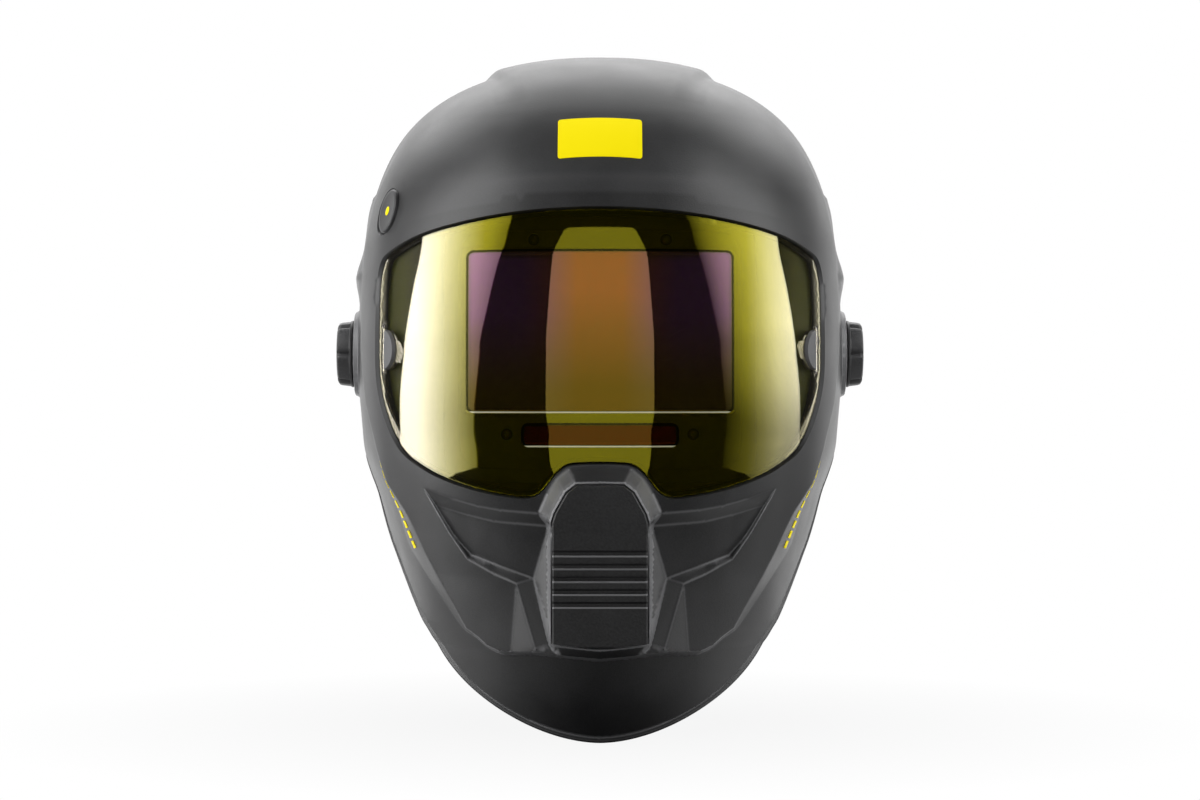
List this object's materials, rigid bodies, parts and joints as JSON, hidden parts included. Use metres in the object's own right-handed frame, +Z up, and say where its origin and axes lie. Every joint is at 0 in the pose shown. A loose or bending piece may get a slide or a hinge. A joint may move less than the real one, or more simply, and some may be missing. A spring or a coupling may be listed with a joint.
{
  "type": "auto-darkening welding helmet",
  "caption": "Flip-up welding helmet: domed shell with a wrap-round amber lens over an auto-darkening filter, a faceted mask with a grooved nose panel, and a ratchet headgear inside.",
  "frame": {"origin": "middle of the flip axis between the two tension knobs", "axes": "+Z up, the face looks along -Y, +X towards the wearer's left"},
  "size_m": [0.2524, 0.3187, 0.3154],
  "materials": {
    "charcoal_shell": "satin, fine grain",
    "grained_panel": "matt, coarse grain",
    "amber_lens": "gloss, gold mirror tint",
    "clear_plate": "gloss",
    "seal_rubber": "matt",
    "grey_stud": "satin",
    "filter_black": "satin",
    "filter_glass": "gloss, coated",
    "solar_brown": "gloss",
    "sensor_dark": "gloss",
    "panel_grey": "satin",
    "display_green": "gloss",
    "board_green": "satin",
    "key_grey": "matt",
    "tray_black": "satin",
    "steel": "satin",
    "clip_black": "satin",
    "button_grey": "satin",
    "block_black": "satin",
    "washer_white": "matt",
    "knob_black": "satin",
    "band_black": "satin",
    "pad_black": "matt, padded",
    "pinion_grey": "satin"
  },
  "bodies": {
    "headgear": {"front_band": "band_black", "brow_pad": "pad_black", "side_rail_left": "band_black", "side_rail_right": "band_black", "rear_strap_left": "band_black", "rear_strap_right": "band_black", "crown_strap_front_left": "band_black", "crown_strap_front_right": "band_black", "crown_strap_rear_left": "band_black", "crown_strap_rear_right": "band_black", "crown_peg_front": "pinion_grey", "crown_peg_rear": "pinion_grey"},
    "carriage": {"slide_block_left": "block_black", "slide_block_right": "block_black", "pivot_bolt_left": "steel", "pivot_bolt_right": "steel", "friction_washer_left": "washer_white", "friction_washer_right": "washer_white"},
    "shell": {"helmet_shell": "charcoal_shell", "nose_insert": "grained_panel", "front_lens": "amber_lens", "lens_seal": "seal_rubber", "lens_stud_left": "grey_stud", "lens_stud_right": "grey_stud", "filter_holder": "filter_black", "filter_frame": "filter_black", "filter_glass": "filter_glass", "solar_cell": "solar_brown", "arc_sensor_1": "sensor_dark", "arc_sensor_2": "sensor_dark", "arc_sensor_3": "sensor_dark", "arc_sensor_4": "sensor_dark", "circuit_board": "board_green", "filter_rear_cover": "filter_black", "inner_cover_lens": "clear_plate", "control_panel": "panel_grey", "display": "display_green", "cartridge_clip_left": "clip_black", "cartridge_clip_right": "clip_black", "button_switch": "panel_grey", "stop_plate_left": "block_black", "stop_plate_right": "block_black"},
    "tension_knob_left": {"tension_knob_left": "knob_black"},
    "tension_knob_right": {"tension_knob_right": "knob_black"},
    "side_button": {"side_button": "button_grey"},
    "control_key_1": {"control_key_1": "key_grey"},
    "control_key_2": {"control_key_2": "key_grey"},
    "control_key_3": {"control_key_3": "key_grey"},
    "battery_tray": {"battery_tray": "tray_black", "coin_cell": "steel"},
    "rear_cradle": {"ratchet_housing": "band_black", "ratchet_cover": "band_black", "nape_pad": "pad_black"},
    "ratchet_knob": {"ratchet_knob": "knob_black", "ratchet_pinion": "pinion_grey"}
  },
  "joints": [
    {"name": "face_distance", "type": "slide", "parent": "headgear", "child": "carriage", "axis": [0, 1, 0], "range_m": [-0.008, 0.008]},
    {"name": "shell_flip", "type": "hinge", "parent": "carriage", "child": "shell", "pos_m": [0, 0, 0], "axis": [-1, 0, 0], "range_deg": [0, 60]},
    {"name": "tension_knob_left_turn", "type": "hinge", "parent": "carriage", "child": "tension_knob_left", "pos_m": [0.1183, 0, 0], "axis": [1, 0, 0], "range_deg": [0, 360]},
    {"name": "tension_knob_right_turn", "type": "hinge", "parent": "carriage", "child": "tension_knob_right", "pos_m": [-0.1183, 0, 0], "axis": [-1, 0, 0], "range_deg": [0, 360]},
    {"name": "side_button_press", "type": "slide", "parent": "shell", "child": "side_button", "axis": [0.8966, 0.3602, -0.2575], "range_m": [0, 0.0015], "stiffness_N_per_m": 800, "springref_m": -0.0005},
    {"name": "control_key_1_press", "type": "slide", "parent": "shell", "child": "control_key_1", "axis": [0, -1, 0], "range_m": [0, 0.0008], "stiffness_N_per_m": 600, "springref_m": -0.0005},
    {"name": "control_key_2_press", "type": "slide", "parent": "shell", "child": "control_key_2", "axis": [0, -1, 0], "range_m": [0, 0.0008], "stiffness_N_per_m": 600, "springref_m": -0.0005},
    {"name": "control_key_3_press", "type": "slide", "parent": "shell", "child": "control_key_3", "axis": [0, -1, 0], "range_m": [0, 0.0008], "stiffness_N_per_m": 600, "springref_m": -0.0005},
    {"name": "battery_tray_slide", "type": "slide", "parent": "shell", "child": "battery_tray", "axis": [0, 0, -1], "range_m": [0, 0.026]},
    {"name": "rear_cradle_slide", "type": "slide", "parent": "headgear", "child": "rear_cradle", "axis": [0, 1, 0], "range_m": [-0.02, 0.012], "deforming": ["rear_strap_left", "rear_strap_right"]},
    {"name": "ratchet_turn", "type": "hinge", "parent": "rear_cradle", "child": "ratchet_knob", "pos_m": [0, 0.127, -0.03834], "axis": [0, 1, 0], "range_deg": [-190, 114]}
  ],
  "couplings": [
    {"joint": "rear_cradle_slide", "follows": "ratchet_turn", "m_per_rad": 0.006}
  ]
}
